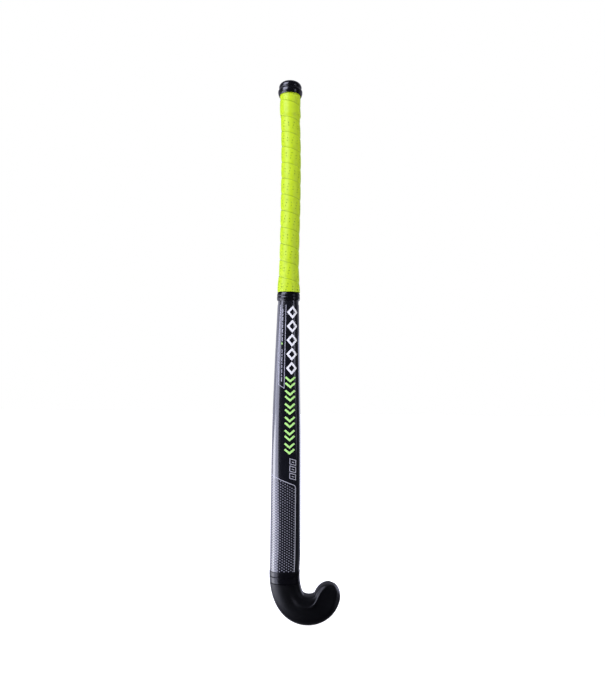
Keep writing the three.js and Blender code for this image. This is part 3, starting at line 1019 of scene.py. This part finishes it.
DASH_MIDDLE = -8.6
DASH_TOP = 531.0
DASH_BOTTOM = 419.0
DASH_LENGTHS = (6.5, 3.2, 7.0, 2.4, 5.2)
DASH_SPACE = 1.7
DASH_BREAK = (469.0, 480.0)
DASH_STROKE = 1.3
FRAME_STROKE = 1.0
FRAME_PATH = ((-3.5, FILM_TOP - 0.6), (-4.1, 401.5), (-14.2, 407.5), (-13.3, FILM_TOP - 0.6))
PANEL_RIGHT = 16.6
BLOCK_TOPS = (286.0, 274.0, 262.0)
BLOCK_LEFT = 6.6
BLOCK_HEIGHT = 8.6
BLOCK_SLANT = 3.0
BLOCK_STROKE = 1.2
BLOCK_BAR = ((3.4, 5.2), (7.4, 7.0))


def print_lines():
    """The open frame beside the marks with its row of dashes, and the slanted blocks below."""
    pale = Print()
    pale.stroke(FRAME_PATH, FRAME_STROKE, step=4)
    height = DASH_TOP
    index = 0
    while height > DASH_BOTTOM:
        length = DASH_LENGTHS[index % len(DASH_LENGTHS)]
        if not DASH_BREAK[0] < height - length / 2 < DASH_BREAK[1]:
            pale.stroke([(DASH_MIDDLE, height), (DASH_MIDDLE, height - length)], DASH_STROKE)
        height -= length + DASH_SPACE
        index += 1
    left, right = BLOCK_LEFT, PANEL_RIGHT
    for top in BLOCK_TOPS:
        bottom = top - BLOCK_HEIGHT
        block = [(left, top), (right, top - BLOCK_SLANT), (right, bottom - BLOCK_SLANT), (left, bottom)]
        pale.stroke(block, BLOCK_STROKE, closed=True)
        pale.stroke([(left + across, top - down) for across, down in BLOCK_BAR], BLOCK_STROKE)
    pale.make("print_pale_lines", INK_GREY)


PANEL_LEFT = -41.0
PANEL_CORNER = 242.5
PANEL_RISE = 0.42
PANEL_BORDER = 1.3
CORNER_RADIUS = 6.0
CORNER_STEPS = 6
CORNER_MIDDLE = (PANEL_RIGHT - CORNER_RADIUS, PANEL_CORNER - CORNER_RADIUS)
DOT_ACROSS = 3.78
DOT_ALONG = 4.53
DOT_TILT = math.radians(35)
DOT_AXES = (1.3, 0.95)
DOT_CLEAR = 2.2


def panel_top(distance):
    """Height of the dotted panel's slanted upper edge."""
    return PANEL_CORNER + PANEL_RISE * (CORNER_MIDDLE[0] - distance)


def print_panel_border():
    border = Print()
    start = math.pi / 2 - math.atan(PANEL_RISE) * 0.5
    turn = arc(CORNER_MIDDLE, (CORNER_RADIUS, CORNER_RADIUS), math.degrees(start), 0, CORNER_STEPS)
    foot = FILM_BOTTOM + 0.8
    path = [(PANEL_LEFT, foot), (PANEL_LEFT, panel_top(PANEL_LEFT))] + turn + [(PANEL_RIGHT, foot)]
    border.stroke(path, PANEL_BORDER, step=3)
    border.make("print_panel_border", INK_GREY)


def past_panel(distance, height):
    """Whether a dot there would touch the panel's upper edge or its rounded corner."""
    if height > panel_top(distance) - DOT_CLEAR:
        return True
    across = distance - CORNER_MIDDLE[0]
    up = height - CORNER_MIDDLE[1]
    return across > 0 and up > 0 and math.hypot(across, up) > CORNER_RADIUS - DOT_CLEAR


def print_dots():
    """Staggered columns of tilted oval dots over the panel."""
    dots = Print()
    angles = np.linspace(0, 2 * math.pi, 12, endpoint=False)
    long_part = DOT_AXES[0] * np.cos(angles)
    short_part = DOT_AXES[1] * np.sin(angles)
    round_x = long_part * math.cos(DOT_TILT) + short_part * math.sin(DOT_TILT)
    round_z = short_part * math.cos(DOT_TILT) - long_part * math.sin(DOT_TILT)
    columns = int((PANEL_RIGHT - PANEL_LEFT - 2 * DOT_CLEAR) / DOT_ACROSS) + 1
    for column in range(columns):
        distance = PANEL_RIGHT - DOT_CLEAR - column * DOT_ACROSS
        height = FILM_BOTTOM + 1.8 + (column % 2) * DOT_ALONG / 2
        while not past_panel(distance, height):
            dots.patch(np.stack([distance + round_x, height + round_z], axis=-1))
            height += DOT_ALONG
    dots.make("print_dots", INK_DOT)


print_marks()
print_lines()
print_panel_border()
print_dots()

make_cap()
make_grip()
make_collar()
make_film()
make_sleeve()
make_ring("ring_above", UPPER_RING_TOP, UPPER_RING_HEIGHT, "upper_ring")
make_ring("ring_below", LOWER_RING_TOP, LOWER_RING_HEIGHT, "lower_ring")
make_overwrap()

# ---- Core, carried over from the CAD model ----

CORE_MATERIALS = {"handle_ply": CANE, "head_ply": MULBERRY, "rubber_spring": RUBBER}

for node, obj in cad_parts.items():
    for prefix, material in CORE_MATERIALS.items():
        if node.startswith(prefix):
            obj.data.materials.clear()
            obj.data.materials.append(material)

# ---- Studio ----


def add_softbox(name, place_mm, size_mm, power, look_at_mm, lean):
    data = bpy.data.lights.new(name, "AREA")
    data.shape = "RECTANGLE"
    data.size, data.size_y = size_mm[0] * MM, size_mm[1] * MM
    data.energy = power
    light = bpy.data.objects.new(name, data)
    bpy.context.scene.collection.objects.link(light)
    start = Vector((np.array(place_mm) + SHIFT) * MM)
    aim = Vector((np.array(look_at_mm) + SHIFT) * MM)
    light.location = start
    light.rotation_mode = "QUATERNION"
    leaning = Quaternion((0, 0, 1), math.radians(lean))
    light.rotation_quaternion = (aim - start).to_track_quat("-Z", "Y") @ leaning
    light.visible_camera = False
    return light


def around(angle, distance, height):
    """A place round the stick; the angle is from the camera's side, positive towards the toe."""
    radians = math.radians(angle)
    return (distance * math.sin(radians), WIDEST_LINE_Y - distance * math.cos(radians), height)


COOL = (0.86, 0.88, 1.13)
NEUTRAL = (0.96, 0.96, 1.02)
WHITE = (1, 1, 1)

# Name, angle, distance, height, width, length, power, height aimed at, lean, colour
SOFTBOXES = (
    ("left_softbox", -58, 1300, -150, 1050, 1900, 15.5, -150, 20, COOL),
    ("left_softbox_core", -76, 1250, -320, 820, 900, 7.5, -320, 15, NEUTRAL),
    ("upper_left_softbox", -48, 1300, 1500, 1050, 1300, 21, 1000, 0, COOL),
    ("left_wall", -104, 1300, -200, 1500, 1900, 9, -200, 0, COOL),
    ("right_fill", 50, 1400, 460, 1500, 2600, 19.5, 460, 0, WHITE),
    ("right_strip", 55, 1400, 380, 130, 900, 0.25, 380, 0, COOL),
    ("upper_right_strip", 47, 1400, 700, 110, 620, 0.5, 640, 0, COOL),
    ("right_wall", 130, 1400, 60, 900, 1000, 4.5, 60, 0, COOL),
    ("overhead", 0, 472, 1900, 1600, 900, 8, 460, 0, COOL),
)
NOT_REFLECTED = ("right_fill", "overhead")


def add_softboxes():
    for name, angle, distance, height, width, length, power, aim_height, lean, colour in SOFTBOXES:
        start = around(angle, distance, height)
        aim = (0, WIDEST_LINE_Y, aim_height)
        softbox = add_softbox(name, start, (width, length), power, aim, lean)
        softbox.data.color = colour
        softbox.visible_glossy = name not in NOT_REFLECTED


add_softboxes()

FLOOR_SIZE = 6.0
FLOOR_STEPS = 24


def add_floor():
    """A pale floor that lights itself evenly and adds no light or shadow to the stick."""
    places = FLOOR_SIZE * (np.arange(FLOOR_STEPS + 1) / FLOOR_STEPS - 0.5)
    vertices = [(x, y, 0.0) for y in places for x in places]
    faces = []
    for row in range(FLOOR_STEPS):
        for column in range(FLOOR_STEPS):
            corner = row * (FLOOR_STEPS + 1) + column
            faces.append((corner, corner + 1, corner + FLOOR_STEPS + 2, corner + FLOOR_STEPS + 1))
    floor = new_object("floor", vertices, faces)
    material, shader = new_material("floor_white")
    colour_by(material, shader, noise(material, 3), (0.93, 0.93, 0.93), (0.96, 0.96, 0.96))
    shader.inputs["Roughness"].default_value = 0.9
    shader.inputs["Emission Color"].default_value = (1, 1, 1, 1)
    shader.inputs["Emission Strength"].default_value = 1.0
    floor.data.materials.append(material)
    floor.visible_diffuse = False
    floor.visible_glossy = False
    floor.visible_shadow = False


add_floor()


def add_world():
    """White to the camera; for light and reflections a grey that brightens behind the stick."""
    world = bpy.data.worlds.new("studio")
    bpy.context.scene.world = world
    world.use_nodes = True
    tree = world.node_tree
    tree.nodes.clear()
    output = tree.nodes.new("ShaderNodeOutputWorld")
    seen = tree.nodes.new("ShaderNodeBackground")
    seen.inputs["Color"].default_value = (1, 1, 1, 1)
    seen.inputs["Strength"].default_value = 1.0
    lit = tree.nodes.new("ShaderNodeBackground")
    coordinates = tree.nodes.new("ShaderNodeTexCoord")
    split = tree.nodes.new("ShaderNodeSeparateXYZ")
    span = tree.nodes.new("ShaderNodeMapRange")
    span.inputs["From Min"].default_value = -0.1
    span.inputs["From Max"].default_value = 0.6
    span.inputs["To Min"].default_value = 0.03
    span.inputs["To Max"].default_value = 0.4
    lit.inputs["Color"].default_value = (0.88, 0.88, 1.1, 1)
    tree.links.new(coordinates.outputs["Generated"], split.inputs["Vector"])
    tree.links.new(split.outputs["Y"], span.inputs["Value"])
    tree.links.new(span.outputs["Result"], lit.inputs["Strength"])
    mix = tree.nodes.new("ShaderNodeMixShader")
    path = tree.nodes.new("ShaderNodeLightPath")
    tree.links.new(path.outputs["Is Camera Ray"], mix.inputs["Fac"])
    tree.links.new(lit.outputs["Background"], mix.inputs[1])
    tree.links.new(seen.outputs["Background"], mix.inputs[2])
    tree.links.new(mix.outputs["Shader"], output.inputs["Surface"])


add_world()
bpy.context.scene.view_settings.view_transform = "Standard"
